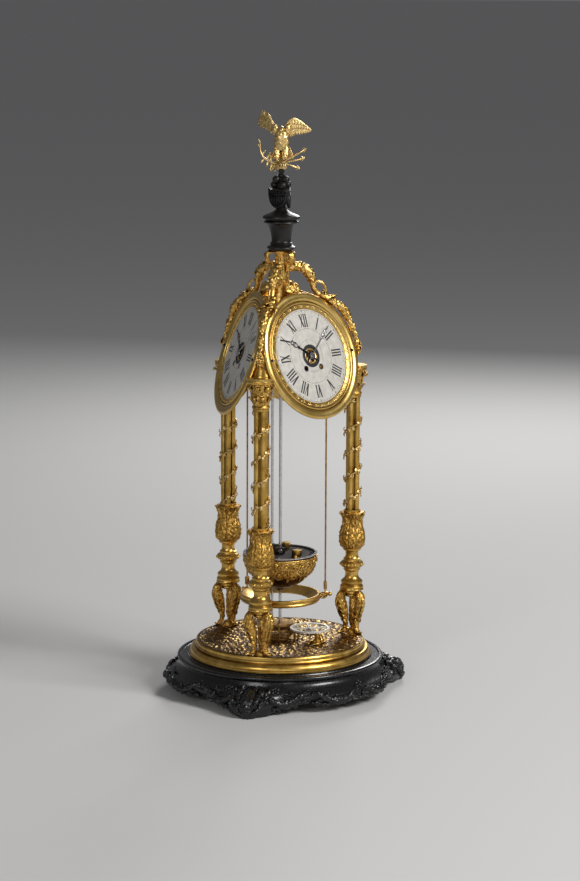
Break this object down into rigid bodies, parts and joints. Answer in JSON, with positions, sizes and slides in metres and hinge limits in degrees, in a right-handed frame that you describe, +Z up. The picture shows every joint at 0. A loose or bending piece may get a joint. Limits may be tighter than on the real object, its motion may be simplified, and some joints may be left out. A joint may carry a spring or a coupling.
{
  "type": "triple dial mantel clock",
  "caption": "Free-standing three-sided clock: three tilted round dials carried on three slim columns over a round stepped base, with a bowl weight sliding on a centre shaft.",
  "frame": {"origin": "on the clock's vertical axis, in the plane of the three feet's undersides", "axes": "+Z up along the drive shaft; -Y out through the middle of the first dial; +X to the right of a person facing that dial"},
  "size_m": [0.303, 0.326, 0.7507],
  "materials": {
    "japanned_iron": "black japanned, semi gloss",
    "gilt_plate": "gilt, engraved border",
    "gilt_cast": "gilt casting, burnished high spots",
    "gilt_case": "gilt, engraved and polished",
    "dark_steel": "dark blued heads",
    "silvered": "matt silvered brass",
    "blued_steel": "blued nearly black",
    "brass": "brass, lacquered",
    "polished_steel": "polished",
    "bronzed_bowl": "brass, darkened, filigree band",
    "dark_lid": "dark, satin"
  },
  "bodies": {
    "frame": {"plinth": "japanned_iron", "finial_pedestal": "japanned_iron", "finial_trophy": "japanned_iron", "base_plate": "gilt_plate", "column_foot_1": "gilt_cast", "column_foot_2": "gilt_cast", "column_foot_3": "gilt_cast", "column_baluster_1": "gilt_cast", "column_baluster_2": "gilt_cast", "column_baluster_3": "gilt_cast", "column_shaft_1": "gilt_cast", "column_shaft_2": "gilt_cast", "column_shaft_3": "gilt_cast", "column_capital_1": "gilt_cast", "column_capital_2": "gilt_cast", "column_capital_3": "gilt_cast", "column_vines": "gilt_cast", "column_nuts": "gilt_cast", "case_floor": "gilt_cast", "crest_corners": "gilt_cast", "crest_stem": "gilt_cast", "eagle": "gilt_cast", "case_shell": "gilt_case", "bezel_1": "gilt_case", "bezel_2": "gilt_case", "bezel_3": "gilt_case", "base_screws": "dark_steel", "bezel_screws": "dark_steel", "dial_1": "silvered", "dial_2": "silvered", "dial_3": "silvered", "dial_pans": "brass", "catch_ring": "brass", "balance_cock": "brass", "movement_frame": "brass", "guide_rod": "polished_steel", "ring_rods": "polished_steel"},
    "drive": {"drive_shaft": "polished_steel", "shaft_wheels": "brass"},
    "minute_1": {"minute_hand_1": "blued_steel", "minute_arbor_1": "polished_steel"},
    "hour_1": {"hour_hand_1": "blued_steel", "hour_wheel_1": "brass"},
    "motion_1": {"minute_wheel_1": "brass"},
    "minute_2": {"minute_hand_2": "blued_steel", "minute_arbor_2": "polished_steel"},
    "hour_2": {"hour_hand_2": "blued_steel", "hour_wheel_2": "brass"},
    "motion_2": {"minute_wheel_2": "brass"},
    "minute_3": {"minute_hand_3": "blued_steel", "minute_arbor_3": "polished_steel"},
    "hour_3": {"hour_hand_3": "blued_steel", "hour_wheel_3": "brass"},
    "motion_3": {"minute_wheel_3": "brass"},
    "escape": {"escape_wheel": "brass"},
    "lever": {"lever": "polished_steel"},
    "balance": {"balance_wheel": "silvered"},
    "weight": {"weight_bowl": "bronzed_bowl", "weight_lid": "dark_lid", "weight_clamp": "bronzed_bowl"}
  },
  "joints": [
    {"name": "drive_turn", "type": "hinge", "parent": "frame", "child": "drive", "pos_m": [0, 0, 0.42538], "axis": [0, 0, 1], "continuous": true},
    {"name": "minute_hand_1_turn", "type": "hinge", "parent": "frame", "child": "minute_1", "pos_m": [0, -0.0573, 0.444], "axis": [0, 0.9511, -0.309], "continuous": true},
    {"name": "hour_hand_1_turn", "type": "hinge", "parent": "frame", "child": "hour_1", "pos_m": [0, -0.0573, 0.444], "axis": [0, 0.9511, -0.309], "continuous": true},
    {"name": "minute_wheel_1_turn", "type": "hinge", "parent": "frame", "child": "motion_1", "pos_m": [0.0135, -0.06206, 0.42935], "axis": [0, 0.9511, -0.309], "continuous": true},
    {"name": "minute_hand_2_turn", "type": "hinge", "parent": "frame", "child": "minute_2", "pos_m": [0.04962, 0.02865, 0.444], "axis": [-0.8236, -0.4755, -0.309], "continuous": true},
    {"name": "hour_hand_2_turn", "type": "hinge", "parent": "frame", "child": "hour_2", "pos_m": [0.04962, 0.02865, 0.444], "axis": [-0.8236, -0.4755, -0.309], "continuous": true},
    {"name": "minute_wheel_2_turn", "type": "hinge", "parent": "frame", "child": "motion_2", "pos_m": [0.04699, 0.04272, 0.42935], "axis": [-0.8236, -0.4755, -0.309], "continuous": true},
    {"name": "minute_hand_3_turn", "type": "hinge", "parent": "frame", "child": "minute_3", "pos_m": [-0.04962, 0.02865, 0.444], "axis": [0.8236, -0.4755, -0.309], "continuous": true},
    {"name": "hour_hand_3_turn", "type": "hinge", "parent": "frame", "child": "hour_3", "pos_m": [-0.04962, 0.02865, 0.444], "axis": [0.8236, -0.4755, -0.309], "continuous": true},
    {"name": "minute_wheel_3_turn", "type": "hinge", "parent": "frame", "child": "motion_3", "pos_m": [-0.06049, 0.01934, 0.42935], "axis": [0.8236, -0.4755, -0.309], "continuous": true},
    {"name": "escape_turn", "type": "hinge", "parent": "frame", "child": "escape", "pos_m": [0.00243, -0.01379, 0.074], "axis": [0, 0, 1], "continuous": true},
    {"name": "lever_rock", "type": "hinge", "parent": "frame", "child": "lever", "pos_m": [0.00389, -0.02206, 0.074], "axis": [0, 0, 1], "range_deg": [-4, 4]},
    {"name": "balance_swing", "type": "hinge", "parent": "frame", "child": "balance", "pos_m": [0.00823, -0.04668, 0.084], "axis": [0, 0, 1], "range_deg": [-150, 150], "stiffness_Nm_per_rad": 0.0003},
    {"name": "weight_slide", "type": "slide", "parent": "frame", "child": "weight", "axis": [0, 0, 1], "range_m": [-0.031, 0.19]}
  ],
  "couplings": [
    {"joint": "minute_hand_1_turn", "follows": "drive_turn", "ratio": 1},
    {"joint": "hour_hand_1_turn", "follows": "drive_turn", "ratio": 0.083333},
    {"joint": "minute_wheel_1_turn", "follows": "drive_turn", "ratio": -0.33333},
    {"joint": "minute_hand_2_turn", "follows": "drive_turn", "ratio": 1},
    {"joint": "hour_hand_2_turn", "follows": "drive_turn", "ratio": 0.083333},
    {"joint": "minute_wheel_2_turn", "follows": "drive_turn", "ratio": -0.33333},
    {"joint": "minute_hand_3_turn", "follows": "drive_turn", "ratio": 1},
    {"joint": "hour_hand_3_turn", "follows": "drive_turn", "ratio": 0.083333},
    {"joint": "minute_wheel_3_turn", "follows": "drive_turn", "ratio": -0.33333},
    {"joint": "escape_turn", "follows": "drive_turn", "ratio": -9.5}
  ]
}
